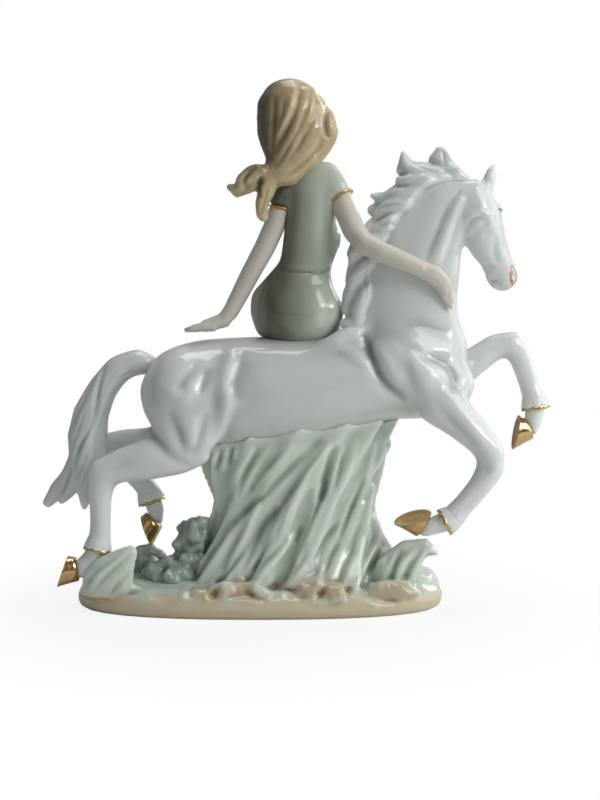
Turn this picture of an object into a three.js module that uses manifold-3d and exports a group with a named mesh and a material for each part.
// A glazed porcelain figurine: a rider sits side-saddle on a cantering horse, which a sheaf of tall grass
// carries on an oval plinth. Every cast piece is its own solid, trimmed to the piece that it is luted to.
// Millimetres. +X is the way the horse goes, +Y its left side, where the rider faces, and +Z is up.
// The origin is the centre of the plinth's underside.
import * as THREE from "three";
import { mergeVertices } from "three/addons/utils/BufferGeometryUtils.js";
import Module from "manifold-3d";

const wasm = await Module();
wasm.setup();

// Driving sizes. A joint between two cast pieces keeps a gap of one seam.
const seam = 0.3;
const plinthLength = 211;
const plinthWidth = 92;
const plinthHeight = 17;
const ventRadius = 3;
const ventDepth = 11;
const sheafRidges = 14;
const sheafRidgeDepth = 0.055;
const bandWidth = 1.5;
const bandProud = 0.4;
const soleBreadth = 0.82;
const fingerLength = 12;
const fingerRadius = 1.8;
const waistHeight = 193;
const seatHeight = 152;

const X = new THREE.Vector3(1, 0, 0);
const Y = new THREE.Vector3(0, 1, 0);

const glaze = { roughness: 0.12, metalness: 0 };
const whiteGlaze = new THREE.MeshStandardMaterial({ color: 0xe4e8e8, ...glaze });
const greenGlaze = new THREE.MeshStandardMaterial({ color: 0xb4c4b8, ...glaze });
const mossGlaze = new THREE.MeshStandardMaterial({ color: 0x7f9082, ...glaze });
const sandGlaze = new THREE.MeshStandardMaterial({ color: 0xbfb199, ...glaze });
const dressGlaze = new THREE.MeshStandardMaterial({ color: 0x93a197, ...glaze });
const hairGlaze = new THREE.MeshStandardMaterial({ color: 0xb3a27f, ...glaze });
const skinBisque = new THREE.MeshStandardMaterial({ color: 0xdcd5c8, roughness: 0.4, metalness: 0 });
const goldLustre = new THREE.MeshStandardMaterial({ color: 0xd09a4e, roughness: 0.2, metalness: 1 });

// A closed three.js geometry as a solid, turned right way out.
function solidOf(geometry) {
  const bare = new THREE.BufferGeometry().setAttribute("position", geometry.getAttribute("position"));
  bare.setIndex(geometry.index);
  const merged = mergeVertices(bare, 1e-4);
  const faces = new Uint32Array(merged.index.array);
  const vertProperties = merged.attributes.position.array;
  const build = (triVerts) => new wasm.Manifold(new wasm.Mesh({ numProp: 3, vertProperties, triVerts }));
  const made = build(faces);
  return made.volume() > 0 ? made : build(faces.reverse());
}

// The mesh of a solid as a three.js geometry.
function geometryOf(solid) {
  const { numProp, vertProperties, triVerts } = solid.getMesh();
  const geometry = new THREE.BufferGeometry();
  geometry.setAttribute("position", new THREE.Float32BufferAttribute(vertProperties, numProp));
  geometry.setIndex(new THREE.BufferAttribute(triVerts, 1));
  return geometry;
}

function join(...solids) {
  return solids.reduce((all, next) => all.add(next));
}

function trim(solid, ...cutters) {
  return cutters.reduce((left, cutter) => left.subtract(cutter), solid);
}

// The largest body of a trimmed solid: the slivers beyond it fall away when the piece is cut.
function largest(solid) {
  return solid.decompose().reduce((best, next) => (next.volume() > best.volume() ? next : best));
}

// An oval of points round a centre. Each half axis is a direction and a length. `ridge` lifts every other
// point, so that a row of ovals carries lengthwise ridges, and a `power` under 1 fills out its corners.
function oval(centre, [side, wide], [up, deep], { sides = 10, grow = 0, ridge = 0, phase = 0, power = 1 }) {
  const full = (share) => Math.sign(share) * Math.abs(share) ** power;
  return Array.from({ length: sides }, (_, k) => {
    const angle = (2 * Math.PI * k) / sides + phase;
    const swell = 1 + ridge * (k % 2 ? -1 : 1);
    return centre
      .clone()
      .addScaledVector(side, (wide * swell + grow) * full(Math.cos(angle)))
      .addScaledVector(up, (deep * swell + grow) * full(Math.sin(angle)));
  });
}

// A closed skin over rings of as many points each, with a point that ends it at either side.
function skin(rings, start, end) {
  const sides = rings[0].length;
  const points = [...rings.flat(), start, end];
  const foot = points.length - 2;
  const last = rings.length - 1;
  const faces = [];
  for (let k = 0; k < sides; k++) {
    const next = (k + 1) % sides;
    for (let ring = 0; ring < last; ring++) {
      const low = ring * sides;
      const high = low + sides;
      faces.push(low + k, low + next, high + next, low + k, high + next, high + k);
    }
    faces.push(foot, next, k, foot + 1, last * sides + k, last * sides + next);
  }
  return solidOf(new THREE.BufferGeometry().setFromPoints(points).setIndex(faces));
}

// A limb swept through stations of [x, y, z, half depth, half width]. The width runs along `across`, the
// depth at right angles to it and to the path. `twist` winds its ridges round it, and `blunt` sets how far
// its rounded ends reach, as a share of their half size.
function limb(stations, { steps = 1, across = Y, twist = 0, blunt = 0.3, grow = 0, ...shape } = {}) {
  const path = new THREE.CatmullRomCurve3(stations.map(([x, y, z]) => new THREE.Vector3(x, y, z)));
  const halves = stations.map(([, , , deep, wide]) => new THREE.Vector3(deep, wide, 0));
  const size = new THREE.CatmullRomCurve3(halves);
  const last = (stations.length - 1) * steps;
  const rings = Array.from({ length: last + 1 }, (_, ring) => {
    const share = ring / last;
    const along = path.getTangent(share);
    const side = across.clone().addScaledVector(along, -across.dot(along)).normalize();
    const { x: deep, y: wide } = size.getPoint(share);
    const up = along.clone().cross(side);
    return oval(path.getPoint(share), [side, wide], [up, deep], { grow, phase: twist * share, ...shape });
  });
  const [start, end] = [[0, -1], [1, 1]].map(([share, way]) => {
    const { x: deep, y: wide } = size.getPoint(share);
    const reach = blunt * Math.min(deep, wide) + grow;
    return path.getPoint(share).addScaledVector(path.getTangent(share), way * reach);
  });
  return skin(rings, start, end);
}

// An egg of given half sizes, turned by Euler angles in degrees.
function egg([x, y, z], [a, b, c], { turn = [0, 0, 0], sides = 10, grow = 0 } = {}) {
  const ball = new THREE.SphereGeometry(1, sides, Math.ceil(sides * 0.7));
  ball.scale(a + grow, b + grow, c + grow);
  const angles = turn.map(THREE.MathUtils.degToRad);
  ball.applyMatrix4(new THREE.Matrix4().makeRotationFromEuler(new THREE.Euler(...angles)));
  return solidOf(ball.translate(x, y, z));
}

// A frame for a turned head: its own +X runs out of the brow, or along a horse's face, and +Z to the crown.
function headFrame(at, pitch, yaw, roll) {
  const [x, y, z] = [roll, pitch, yaw].map(THREE.MathUtils.degToRad);
  return new THREE.Matrix4().makeRotationFromEuler(new THREE.Euler(x, y, z, "ZYX")).setPosition(...at);
}

function placed(solid, frame) {
  return solidOf(geometryOf(solid).applyMatrix4(frame));
}

// A solid as a named mesh whose own origin is at `pivot`, the place where the piece is luted on.
function piece(name, solid, material, pivot) {
  const geometry = geometryOf(largest(solid));
  geometry.translate(-pivot[0], -pivot[1], -pivot[2]);
  geometry.computeVertexNormals();
  const mesh = new THREE.Mesh(geometry, material);
  mesh.name = name;
  mesh.position.set(...pivot);
  return mesh;
}

const figurine = new THREE.Group();
const ground = new THREE.Group();
const horse = new THREE.Group();
const rider = new THREE.Group();
figurine.add(ground, horse, rider);

// The horse's trunk: barrel, haunches, shoulders and breast in one casting.
const barrelStations = [
  [-63.5, 0, 121, 13, 14],
  [-58, 0, 121.5, 22.5, 20],
  [-48, 0, 122, 27.8, 25.5],
  [-33, 0, 121.6, 31.8, 28],
  [-10, 0, 122.6, 32.2, 29],
  [14, 0, 124, 31.4, 29],
  [37, 0, 126, 29, 28],
  [58, 0, 131, 28, 26],
  [76, 0, 134.5, 27, 25],
  [96, 0, 133, 26, 23],
  [109, 0, 131.5, 20, 18],
  [116, 0, 131, 13, 12],
];

function trunkHalf(side, grow) {
  const thigh = [
    [-40.5, side * 18, 120, 23, 12],
    [-40.5, side * 20, 107, 21, 12.5],
    [-38.5, side * 21, 97, 15.5, 11],
    [-35, side * 21, 90, 8, 8],
  ];
  return join(
    egg([-41.5, side * 13, 122.5], [27, 18, 27.5], { turn: [0, 8, 0], grow }),
    limb(thigh, { grow }),
    egg([86, side * 14, 136.5], [17, 13.5, 30], { turn: [0, -36, 0], grow }),
    egg([111.4, side * 9, 128], [11.4, 10.5, 16], { turn: [0, 12, 0], sides: 8, grow }),
  );
}

function trunk(grow) {
  return join(limb(barrelStations, { sides: 14, grow }), trunkHalf(-1, grow), trunkHalf(1, grow));
}
const trunkCut = trunk(seam);
horse.add(piece("horse_trunk", trunk(0), whiteGlaze, [0, 0, 122]));

// The neck rises from the breast and arches to the poll.
const poll = [121, 2, 237];
const neckStations = [
  [88, 0, 130, 32, 17],
  [85.2, 0, 146, 35, 18.5],
  [82.4, 0, 162, 32, 18.2],
  [83.6, 0, 180, 29.8, 17],
  [87.4, 0, 195.4, 28, 16],
  [92.2, 0, 209.6, 25, 14.5],
  [99.6, 0, 223.6, 20.4, 13],
  [109.4, 0.5, 233.6, 14, 11],
  [poll[0] - 1, poll[1], poll[2], 8, 9],
];
const neck = (grow) => limb(neckStations, { sides: 14, grow });
const neckCut = neck(seam);
horse.add(piece("horse_neck", trim(neck(0), trunkCut), whiteGlaze, neckStations[0].slice(0, 3)));

// The horse's head is bowed, and turned to the far side.
const horseHeadFrame = headFrame(poll, 60, 34, -12);
const faceStations = [
  [-6, 0, -2, 7, 7],
  [3, 0, -1.6, 12.4, 10.5],
  [11, 0, -2.6, 14.8, 11.5],
  [20, 0, -4, 15.6, 11],
  [30, 0, -4.4, 13.6, 9.6],
  [40, 0, -3.4, 11, 8],
  [49, 0, -3.4, 9.6, 7.6],
  [55, 0, -4.4, 8.8, 8],
  [59, 0, -5.6, 6.8, 6.5],
];
const nostrilAt = [53.5, 5.5, 0.6];
const browAt = [14, 8, 5];

function horseHead(grow) {
  const pair = ([x, y, z], half) => [-1, 1].map((side) => egg([x, side * y, z], half, { sides: 7, grow }));
  const features = [...pair(browAt, [5, 3.5, 3.5]), ...pair(nostrilAt, [3.4, 2.4, 3.4])];
  return placed(join(limb(faceStations, { sides: 12, grow }), ...features), horseHeadFrame);
}

const horseHeadCut = horseHead(seam);
horse.add(piece("horse_head", trim(horseHead(0), neckCut), whiteGlaze, poll));

// One ear is pricked, and the far one is laid back.
const ears = { near: [[1.5, -6.5, 6.9], [-8.1, -8.1, 17.9]], far: [[1, 6.5, 6], [-15, 17, 9]] };
for (const [name, ends] of Object.entries(ears)) {
  const [root, tip] = ends.map((end) => new THREE.Vector3(...end));
  const shell = [[0, 4, 3], [0.4, 4.6, 3.2], [0.75, 3.2, 2.1], [1, 0.8, 0.6]];
  const stations = shell.map(([share, deep, wide]) => {
    const { x, y, z } = root.clone().lerp(tip, share);
    return [x, y, z, deep, wide];
  });
  const ear = placed(limb(stations, { sides: 8 }), horseHeadFrame);
  horse.add(piece(`horse_ear_${name}`, trim(ear, horseHeadCut, neckCut), whiteGlaze, poll));
}

// The legs: each runs from its muscle to a feathered cuff, and a slimmer pastern comes out of it. The hoof's
// coronet and sole are ovals seen edge on from the side, given as their back and front ends in x and z.
const legs = {
  fore_near: {
    bone: [
      [95, -17, 120, 13, 9.5],
      [105, -18.5, 116, 13.4, 9.5],
      [114.5, -19.5, 107.2, 10.8, 8.5],
      [123, -20, 98.8, 9, 7.6],
      [130.2, -20, 90, 8.4, 7],
      [130.2, -20, 80.8, 8, 6.8],
      [123.8, -20, 70.8, 6.4, 5.8],
      [115.5, -20, 61, 6, 5.6],
      [109.2, -20, 53.4, 6.9, 6.6],
      [105.6, -20, 51.4, 7.5, 7.2],
    ],
    pastern: [[109, -20, 52, 5, 5], [101, -20, 49.5, 5.3, 5.2], [90, -20, 48, 6, 5.6]],
    coronet: [[96.6, 54.4], [88.5, 42.9]],
    sole: [[97, 56.2], [76.2, 50.3]],
    lean: 0.3,
  },
  fore_far: {
    bone: [
      [100, 15, 122, 12, 9],
      [112, 17, 131, 10.6, 8],
      [126, 18, 140.4, 8.4, 7.2],
      [138, 18, 148.6, 7.6, 6.8],
      [147.4, 18, 150, 8.4, 7.2],
      [152.4, 18, 141.2, 6.5, 5.8],
      [156.7, 18, 128.4, 5.8, 5.3],
      [160.4, 18, 118.5, 6.6, 6.2],
      [161.2, 18, 113.5, 7.8, 7],
    ],
    pastern: [[161.3, 18, 117, 5, 5], [161, 18, 108, 5.4, 5], [156.5, 18, 98.5, 6, 5.2]],
    coronet: [[155.8, 105.9], [160, 94.4]],
    sole: [[151.8, 107.8], [147.8, 88]],
    lean: 0.16,
  },
  hind_near: {
    bone: [
      [-33, -20, 98, 14, 9],
      [-46, -21, 91.5, 14, 9.4],
      [-60, -22, 87.4, 12.4, 8.6],
      [-75, -22, 83.6, 10.2, 7.6],
      [-88, -22, 78.6, 9.4, 6.8],
      [-89.4, -22, 65, 6.6, 5.8],
      [-89.2, -22, 51, 5.7, 5.4],
      [-90, -22, 42, 6.2, 6],
      [-91, -22, 36.5, 7.4, 7.2],
    ],
    pastern: [
      [-91, -22, 39, 5.4, 5],
      [-92.5, -22, 31, 6.4, 5.4],
      [-97, -22, 26, 6.6, 5.6],
      [-106, -22, 24, 6.4, 5.6],
    ],
    coronet: [[-103.6, 31.2], [-102, 17.8]],
    sole: [[-108, 31.6], [-114, 14.6]],
    lean: 0.12,
  },
  hind_far: {
    bone: [
      [-40, 18, 102, 13, 9],
      [-54, 19, 95.4, 10, 8.5],
      [-67, 20, 92.6, 8, 7.4],
      [-80, 20, 92.6, 7.4, 6.6],
      [-89.5, 20, 91.8, 8, 6.6],
      [-85, 20, 80.5, 6.2, 5.6],
      [-75.5, 20, 72.4, 5.6, 5.4],
      [-67.2, 20, 64.6, 6.2, 6],
      [-65, 20, 57.8, 7.7, 7],
    ],
    pastern: [[-64.8, 20, 60, 4.8, 4.6], [-62.4, 20, 52, 5, 4.6], [-64.2, 20, 43, 5.6, 5]],
    coronet: [[-68.2, 49.9], [-58.7, 41.4]],
    sole: [[-71.3, 47.3], [-64.6, 30.4]],
    lean: 0.12,
  },
};

// The gilded rim at the end of a cuff or of a sleeve.
function band(stations, grow) {
  const [before, cuff] = stations.slice(-2).map(([x, y, z]) => new THREE.Vector3(x, y, z));
  const way = cuff.clone().sub(before).normalize();
  const [deep, wide] = stations.at(-1).slice(3);
  const ends = [seam, seam + bandWidth].map((step) => {
    const { x, y, z } = cuff.clone().addScaledVector(way, step);
    return [x, y, z, deep + bandProud, wide + bandProud];
  });
  return limb(ends, { grow, blunt: 0 });
}

function hoof({ bone, coronet, sole, lean }, grow) {
  const y = bone.at(-1)[1];
  const rims = [coronet, sole].map((rim) => rim.map(([x, z]) => new THREE.Vector3(x, y, z)));
  const [top, base] = rims.map(([heel, toe]) => heel.clone().lerp(toe, 0.5));
  const way = base.clone().sub(top).normalize();
  const rings = rims.map(([heel, toe], low) => {
    const centre = [top, base][low].clone().addScaledVector(way, low ? grow : -grow);
    const half = heel.distanceTo(toe) / 2;
    const out = new THREE.Vector3(0, 1, lean * low).normalize();
    const ahead = toe.clone().sub(heel).normalize();
    return oval(centre, [out, half * soleBreadth], [ahead, half], { sides: 12, grow });
  });
  return skin(rings, top.addScaledVector(way, -grow), base.addScaledVector(way, grow));
}

const legCuts = [];
for (const [name, leg] of Object.entries(legs)) {
  const bone = (grow) => join(limb(leg.bone, { grow, blunt: 0.1 }), limb(leg.pastern, { sides: 8, grow }));
  const [x, y, z] = leg.bone.at(-1);
  horse.add(
    piece(`leg_${name}`, trim(bone(0), trunkCut, hoof(leg, seam)), whiteGlaze, leg.bone[0].slice(0, 3)),
    piece(`band_${name}`, trim(band(leg.bone, 0), bone(seam)), goldLustre, [x, y, z]),
    piece(`hoof_${name}`, hoof(leg, 0), goldLustre, [leg.coronet[0][0], y, leg.coronet[0][1]]),
  );
  legCuts.push(bone(seam), band(leg.bone, seam), hoof(leg, seam));
}

// The tail: a ridged switch that arches from the dock and breaks into three tips.
const tailSwitch = [
  [-56, 0, 139, 6.6, 6],
  [-69, 0, 141, 7.4, 7],
  [-81, 0, 136.5, 8.3, 8],
  [-90.3, -1, 125.2, 8.5, 8.5],
  [-96.8, -2, 111, 10, 9],
  [-98.8, -4, 97, 11.2, 9],
  [-99.4, -5, 84, 9.8, 8],
  [-103, -5, 73, 7, 6.5],
];
const tailTips = [
  [[-103, -4, 84, 7, 6], [-108, -3, 74, 6.5, 5], [-116, -1, 67, 5.5, 4], [-124, 0, 57.5, 2.4, 2.2]],
  [[-103, -5, 80, 6, 6], [-106, -5, 71, 5, 5], [-111, -4, 64.5, 3.4, 3.2], [-115, -4, 59, 1.4, 1.4]],
  [[-101, -7, 80, 6, 5], [-101, -8, 69, 4, 4], [-100, -8, 61, 3, 2.6], [-100.5, -8, 56, 1, 1]],
];
const tailHair = join(
  limb(tailSwitch, { sides: 16, ridge: 0.06, twist: 0.8 }),
  ...tailTips.map((stations) => limb(stations, { sides: 8 })),
);
const dock = tailSwitch[0].slice(0, 3);
horse.add(piece("horse_tail", trim(tailHair, trunkCut, ...legCuts), whiteGlaze, dock));

// The rider's skirt: the hips, and the lap and hem that fall over the horse's far side.
function skirt(grow) {
  const hips = [
    [22, 0, seatHeight - 3, 18.5, 13],
    [21.6, 0, seatHeight + 4, 22.6, 17],
    [21.4, 0, seatHeight + 16, 27, 19],
    [21.6, 0, waistHeight - 17, 26.6, 18],
    [23.6, 0, waistHeight - 8, 19.8, 14.5],
    [25.5, 0, waistHeight, 15.6, 11],
  ];
  const lap = [
    [23, 2, 168, 14, 22],
    [25, 18, 171, 13, 20],
    [27, 33, 168, 11, 19],
    [29, 43, 155, 10, 19],
    [31, 46, 136, 9, 21],
    [32, 46, 114, 10, 24],
  ];
  const knees = [20, 36].map((x) => egg([x, 40, 164], [9, 11, 9.5], { sides: 8, grow }));
  return join(
    limb(hips, { sides: 14, grow, blunt: 0.1 }),
    limb(lap, { sides: 16, across: X, grow, ridge: 0.05, blunt: 0.05 }),
    ...knees,
  );
}
const skirtCut = skirt(seam);
rider.add(piece("skirt", trim(skirt(0), trunkCut, neckCut), dressGlaze, [22.5, 0, seatHeight]));

// The bodice, with its short sleeves cast on.
const bodiceStations = [
  [25.6, 0, waistHeight - 3, 15.2, 10.6],
  [26.3, 0, 199, 14.4, 10.2],
  [28, 0.5, 212, 14.2, 11],
  [29, 1.5, 226, 15, 12],
  [30, 1, 238, 17, 11.5],
  [31, 0.5, 247, 14.4, 9],
  [31.5, 0.5, 253, 8.6, 6.4],
];
const bustPlaces = [[38.2, 7, 211], [25.4, 10.4, 211]];
const sleeves = {
  right: [
    [35.2, 0, 249.6, 7, 7],
    [40.8, -1, 243.8, 7.6, 7.4],
    [44, -2.8, 237.4, 7.7, 7.4],
    [46.4, -4, 233.8, 7.6, 7.2],
  ],
  left: [
    [22, 0, 243, 6, 7],
    [16, 0, 238.5, 6.8, 7],
    [12.6, 0, 231.5, 6.6, 6.6],
    [11.6, -0.2, 228, 6.6, 6.6],
  ],
};
function bodice(grow) {
  const puffs = Object.values(sleeves).map((stations) => limb(stations, { sides: 9, grow, blunt: 0.02 }));
  const bust = bustPlaces.map((at) => egg(at, [9.3, 7.8, 10.5], { sides: 7, grow }));
  return join(limb(bodiceStations, { sides: 14, grow }), ...puffs, ...bust);
}
const bodiceCut = bodice(seam);
rider.add(piece("bodice", trim(bodice(0), skirtCut), dressGlaze, [25.5, 0, waistHeight]));

// The arms come out of the sleeves: the right hand lies on the horse's neck, the left is held over the croup.
const arms = {
  right: {
    bone: [
      [45, -3, 236.5, 6.4, 6.4],
      [49, -7, 225.6, 6.8, 6.4],
      [53.4, -13, 214.4, 6.6, 6.2],
      [59, -18, 207, 6.4, 6],
      [68, -21, 202.3, 6.1, 5.6],
      [80.5, -21.5, 197.4, 5.4, 5],
      [91, -21, 193, 4.6, 4.2],
    ],
    palm: [
      [88, -21.2, 194, 4.2, 4.6],
      [96.5, -20, 190.2, 3.8, 5.6],
      [102.6, -17.8, 185, 3.4, 6],
      [105.6, -16, 180.6, 3, 5.6],
    ],
    reach: [0.44, 0.36, -0.82],
    breadth: [0.86, 0, 0.5],
  },
  left: {
    bone: [
      [12.5, 0, 231, 5.9, 5.6],
      [9.2, -0.5, 219.5, 6.3, 5.8],
      [3, -1, 205.7, 6.1, 5.6],
      [-6, -2, 189.2, 5.6, 5],
      [-12.5, -3, 176.6, 5, 4.4],
      [-17.5, -4, 167, 4.4, 4],
    ],
    palm: [[-15.5, -4, 171, 4.4, 4], [-20.5, -4, 164.2, 4.4, 4.8], [-32, -4, 160.6, 3.4, 5.6]],
    reach: [-0.97, 0, -0.18],
    breadth: [0, 1, 0],
  },
};

function arm({ bone, palm, reach, breadth }, grow) {
  const way = new THREE.Vector3(...reach).normalize();
  const across = new THREE.Vector3(...breadth);
  const spread = across.clone().addScaledVector(way, -across.dot(way)).normalize();
  const knuckles = new THREE.Vector3(...palm.at(-1).slice(0, 3)).addScaledVector(way, -2);
  const fingers = [-1.5, -0.5, 0.5, 1.5].map((row) => {
    const root = knuckles.clone().addScaledVector(spread, row * fingerRadius * 1.7);
    const length = fingerLength * (1 - 0.09 * row * row);
    const stations = [0, 0.5, 1].map((share) => {
      const { x, y, z } = root.clone().addScaledVector(way, share * length);
      const radius = fingerRadius * (1 - 0.25 * share);
      return [x, y, z, radius, radius];
    });
    return limb(stations, { sides: 5, grow });
  });
  return join(limb(bone, { sides: 8, grow }), limb(palm, { sides: 8, across, grow }), ...fingers);
}

const armCuts = [];
for (const [side, shape] of Object.entries(arms)) {
  const rim = trim(band(sleeves[side], 0), arm(shape, seam), bodiceCut);
  const armSolid = trim(arm(shape, 0), bodiceCut, neckCut, skirtCut);
  rider.add(
    piece(`arm_${side}`, armSolid, skinBisque, shape.bone[0].slice(0, 3)),
    piece(`sleeve_rim_${side}`, rim, goldLustre, sleeves[side].at(-1).slice(0, 3)),
  );
  armCuts.push(arm(shape, seam), band(sleeves[side], seam));
}

// The mane: locks that stream back from the crest, and a cluster that falls to the withers.
const crestLocks = [
  [
    [120, 1, 241, 4, 5],
    [112, 0, 244.5, 7, 6],
    [103.5, -1, 249, 8, 5.5],
    [101.5, -2, 256, 6, 3.6],
    [103.5, -2, 261.5, 2.4, 1.6],
  ],
  [
    [112, 0, 240, 6, 7],
    [99, -1, 244, 9, 7.5],
    [88, -2, 246.4, 8.6, 6],
    [82.4, -2, 251, 6, 4],
    [81.4, -2, 259.5, 1, 1],
  ],
  [
    [103, 0, 233, 7, 8],
    [89, -1, 235, 9.4, 8],
    [78, -2, 234, 7.4, 6],
    [70, -2, 232.4, 4.4, 4],
    [63.5, -2, 235.4, 1, 1],
  ],
  [[93, 0, 220, 8, 8], [80, -1, 223, 9.5, 8], [71, -2, 226.6, 8, 6], [62, -2, 226.6, 2.4, 2]],
];
const witherLocks = [
  [[79, -2, 217, 7, 7], [66, -4, 215, 8, 7], [57, -6, 207, 6, 6], [51.5, -8, 200, 3, 3]],
  [[72, -3, 206, 7, 8], [61, -6, 199, 7.5, 7], [54, -8, 191, 5.5, 5], [50.5, -8, 185, 2.4, 2.4]],
  [[68, -3, 194, 7, 8], [58, -6, 187, 8, 7], [52, -8, 178, 5.5, 5.4], [49, -8, 171, 3, 3]],
  [[66, -3, 181, 7, 8], [59, -7, 173, 8, 7], [55, -10, 164, 6.5, 5], [54.5, -12, 156, 4, 3.5]],
];
function mane(locks, grow) {
  return join(...locks.map((stations) => limb(stations, { sides: 7, grow })));
}
const crest = trim(mane(crestLocks, 0), neckCut, horseHeadCut);
const witherCuts = [neckCut, trunkCut, skirtCut, bodiceCut, mane(crestLocks, seam), ...armCuts];
horse.add(
  piece("mane_crest", crest, whiteGlaze, crestLocks[0][0].slice(0, 3)),
  piece("mane_withers", trim(mane(witherLocks, 0), ...witherCuts), whiteGlaze, witherLocks[0][0].slice(0, 3)),
);

// The rider's bare lower legs come out below the hem on the far side.
for (const [side, x] of [["left", 24], ["right", 38]]) {
  const shin = [
    [x, 44, 122, 6.5, 6.5],
    [x, 45, 108, 5.6, 6],
    [x + 1, 45, 96, 3.9, 4.2],
    [x + 2, 47, 88, 4.2, 3.8],
    [x + 3, 54, 82, 3, 3.9],
    [x + 3, 60, 79.5, 1.8, 2.6],
  ];
  const solid = trim(limb(shin, { across: X }), skirtCut, trunkCut);
  rider.add(piece(`rider_leg_${side}`, solid, skinBisque, shin[0].slice(0, 3)));
}

// The rider's head is turned towards the horse's.
const napeAt = [30, 0.5, 249];
const riderHeadFrame = headFrame([25.5, 3, 279], 8, 62, 0);
const noseStations = [
  [10.6, 0, 2.5, 1, 1.1],
  [12.4, 0, -2, 1.4, 1.5],
  [12.2, 0, -5, 1, 1.8],
];
function riderHead(grow) {
  const head = join(
    egg([-1, 0, 2], [13.2, 11, 14], { grow }),
    egg([4, 0, -7], [7.6, 7.8, 10], { turn: [0, -14, 0], grow }),
    limb(noseStations, { sides: 6, grow }),
  );
  const throat = [[...napeAt, 6, 6], [29, 1.2, 257, 5.3, 5.3], [27.5, 3, 268, 6, 6]];
  return join(placed(head, riderHeadFrame), limb(throat, { grow }));
}
const riderHeadCut = riderHead(seam);
rider.add(piece("rider_head", trim(riderHead(0), bodiceCut), skinBisque, napeAt));

// The hair sweeps from the crown to a tie behind the left shoulder, and a roll frames the cheek.
function hair(grow) {
  const fall = [
    [14.6, -1, 297, 10, 10],
    [15.6, -2, 290.5, 16.4, 14.6],
    [18, -3, 281, 19.2, 17],
    [18.8, -4, 269, 19.6, 16.5],
    [17.4, -7, 257, 17, 12],
    [12, -10, 248, 11, 8],
    [6, -11, 244, 6, 6],
  ];
  const roll = [
    [22, -1, 290, 6, 10],
    [28.6, -1, 285, 6.8, 12],
    [34.4, -1, 278, 7.2, 12],
    [38, -1, 270.5, 7.4, 11],
    [34.6, -3, 262.8, 6.6, 9],
    [28, -6, 255, 7, 7],
    [17, -9, 248, 6, 6],
  ];
  const strands = { ridge: 0.035, twist: 0.7, grow };
  return join(limb(fall, { sides: 14, ...strands }), limb(roll, { sides: 8, ...strands }));
}
const faceWindow = placed(egg([15, 0, -5], [12, 10, 15]), riderHeadFrame);
const tieAt = [6, -11, 245];
rider.add(piece("hair", trim(hair(0), riderHeadCut, bodiceCut, faceWindow), hairGlaze, [19, -3, 280]));

// The tied ends curl out over the back.
const tiedEnds = [
  [
    [...tieAt, 5, 6],
    [-2, -12, 244.6, 6.6, 6],
    [-8.5, -12, 240.4, 5.8, 5],
    [-13, -12, 236.6, 3.6, 3.2],
    [-17.5, -12, 239.6, 1.2, 1.2],
  ],
  [[...tieAt, 5, 5], [4.5, -13, 237, 5, 5], [1.5, -13, 229, 3.4, 3.4], [3, -13, 220.5, 2.4, 2.6]],
].map((stations) => limb(stations, { sides: 8, ridge: 0.06 }));
const tieEnds = trim(join(...tiedEnds), hair(seam), bodiceCut, ...armCuts);
rider.add(piece("hair_tie_ends", tieEnds, hairGlaze, tieAt));

// The plinth: an oval slab with a rounded rim, pebbles cast into its front and a bank at its fore end.
function plinth(grow) {
  const long = plinthLength / 2;
  const deep = plinthWidth / 2;
  // Shares of the height, and how far the rim has drawn in there.
  const rim = [[0, 4], [0.12, 1.2], [0.35, 0], [0.62, 2], [0.84, 8], [1, 22]];
  const rings = rim.map(([share, inset]) => [0, 0, plinthHeight * share, long - inset, deep - inset]);
  // Each pebble and the bank: a place as shares of the half axes and a drop below the top, and half sizes.
  const pebbles = [
    [[-0.31, -0.77, 6], [7, 5.5, 6]],
    [[-0.19, -0.79, 5.4], [6.6, 6, 6.4]],
    [[-0.06, -0.74, 3.6], [10, 6, 7]],
    [[0.25, -0.77, 4.4], [9, 7, 8.4]],
    [[0.39, -0.78, 5], [9, 7, 8.8]],
    [[0.71, -0.6, 4.6], [16, 8, 8]],
    [[0.815, 0.17, 5], [18.5, 26, 9], 10],
  ].map(([[x, y, drop], half, sides = 6]) => {
    return egg([x * long, y * deep, plinthHeight - drop], half, { sides, grow });
  });
  return join(limb(rings, { sides: 32, power: 0.84, grow, blunt: 0 }), ...pebbles);
}
const vent = new THREE.CylinderGeometry(ventRadius, ventRadius, 2 * ventDepth, 16);
vent.rotateX(Math.PI / 2).translate(plinthLength / 5, 0, 0);
ground.add(piece("plinth", trim(plinth(0), solidOf(vent)), sandGlaze, [0, 0, 0]));
const plinthCut = plinth(seam);

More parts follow.
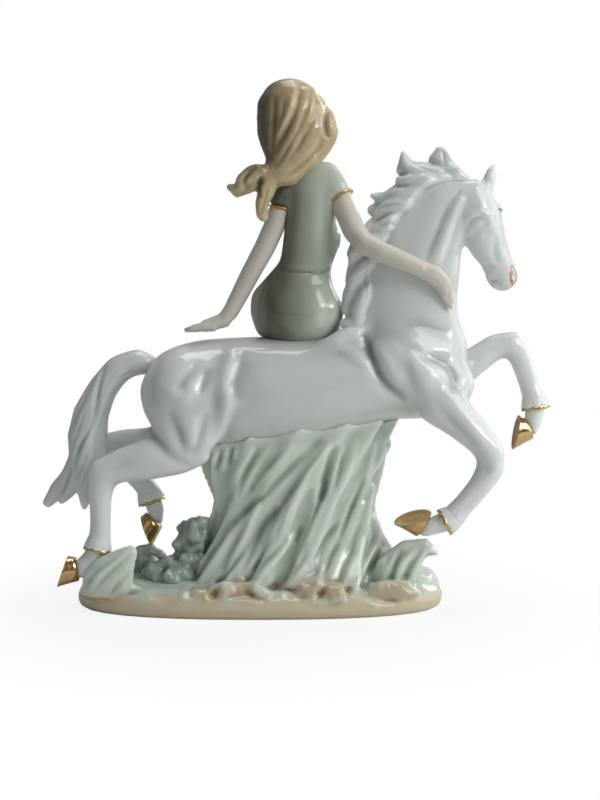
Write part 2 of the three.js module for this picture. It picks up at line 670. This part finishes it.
// The grass sheaf stands on the plinth and carries the belly: its ridges lean with the stride, and single
// blades lie on its near side.
const footing = plinthHeight - 4;
function sheaf(grow) {
  const stations = [
    [20, 0, footing, 66, 35],
    [20, 0, footing + 13, 57, 30],
    [19, 0, footing + 29, 49.2, 25],
    [19.6, 0, footing + 47, 45.2, 22],
    [19.4, 0, footing + 65, 50, 22],
    [18.6, 0, footing + 78, 53.6, 22],
    [18.6, 0, footing + 95, 59, 20],
  ];
  // How far out the near face lies at a place along x, where a station's oval rings the sheaf.
  const face = (x, [centre, , , half, deep]) => -deep * Math.sqrt(1 - ((x - centre) / half) ** 2);
  // Each blade's foot along x, its lean and its height. It lies low on the face.
  const blades = [
    [-30, 34, 54],
    [-16, 36, 48],
    [0, 30, 66],
    [20, 30, 70],
    [36, 22, 48],
    [50, 15, 58],
  ].map(([x, lean, height]) => {
    const places = [[0, 0.05, 3, 6.4], [0.45, 0.5, 2.6, 5.2], [1, 1, 1.2, 1.4]];
    const blade = places.map(([swing, rise, thick, wide], row) => {
      const along = x + lean * swing;
      return [along, face(along, stations[2 * row]), footing + height * rise, thick, wide];
    });
    return limb(blade, { sides: 5, across: X, grow });
  });
  const ridges = { sides: 2 * sheafRidges, ridge: sheafRidgeDepth, twist: 1 };
  return join(limb(stations, { ...ridges, grow, blunt: 0.1 }), ...blades);
}
const sheafCut = sheaf(seam);
const sheafSolid = trim(sheaf(0), trunkCut, plinthCut, ...legCuts);
ground.add(piece("grass_sheaf", sheafSolid, greenGlaze, [20, 0, footing]));

// Moss beside the sheaf: lumps set round an egg by the golden angle.
function lumps(centre, half, count, radius, grow) {
  const golden = Math.PI * (3 - Math.sqrt(5));
  const knobs = Array.from({ length: count }, (_, k) => {
    const rise = 1 - (1.5 * (k + 0.5)) / count;
    const round = Math.sqrt(1 - rise * rise);
    const out = [round * Math.cos(golden * k), round * Math.sin(golden * k), rise];
    const at = centre.map((place, axis) => place + 0.86 * half[axis] * out[axis]);
    return egg(at, [radius, radius, radius], { sides: 5, grow });
  });
  return join(egg(centre, half, { sides: 8, grow }), ...knobs);
}
function moss(grow) {
  const stem = egg([-40, -6, footing + 10], [11, 9, 12], { sides: 8, grow });
  const clump = lumps([-38, -6, footing + 26.5], [9.5, 9, 11], 5, 5, grow);
  return join(stem, clump, lumps([-51, -11, footing + 6.5], [17, 11, 9.5], 4, 5.8, grow));
}
const mossCut = moss(seam);
ground.add(piece("moss", trim(moss(0), sheafCut, plinthCut, ...legCuts), mossGlaze, [-45, -10, footing]));

// The far hind hoof touches a rock.
const boulder = egg([-67, 17, footing + 7], [12, 14, 11.5], { turn: [0, 20, 0], sides: 9 });
const rock = trim(boulder, plinthCut, sheafCut, mossCut, ...legCuts);
ground.add(piece("rock", rock, mossGlaze, [-67, 17, footing]));

// A broad pleated leaf lies before the hind pastern, and a plume of grass curls under the near fore hoof.
const leafFoot = 22.5 - plinthLength / 2;
const leafStations = [
  [leafFoot, -28, footing - 2, 5, 17.5],
  [leafFoot, -29.5, footing + 7, 4.6, 14.5],
  [leafFoot + 6, -29.5, footing + 16.4, 3.6, 8.8],
  [leafFoot + 13.4, -28.5, footing + 24.2, 1.6, 2.6],
];
const pleats = limb(leafStations, { sides: 12, steps: 2, across: X, ridge: 0.05 });
const leaf = trim(pleats, plinthCut, mossCut, ...legCuts);
const plumeFoot = plinthLength / 2 - 31.5;
const plumeStations = [
  [plumeFoot, -17, footing - 1, 12, 10],
  [plumeFoot + 3, -18, footing + 10, 12.6, 8.8],
  [plumeFoot + 12, -20, footing + 19.8, 9, 6.6],
  [plumeFoot + 20.5, -20, footing + 23.4, 5.2, 4.4],
  [plumeFoot + 26, -20, footing + 20, 1.4, 1.2],
];
const tuft = limb(plumeStations, { sides: 12, ridge: 0.07 });
const plume = trim(tuft, plinthCut, sheafCut, ...legCuts);
ground.add(
  piece("broad_leaf", leaf, greenGlaze, leafStations[0].slice(0, 3)),
  piece("grass_plume", plume, greenGlaze, plumeStations[0].slice(0, 3)),
);

export default figurine;
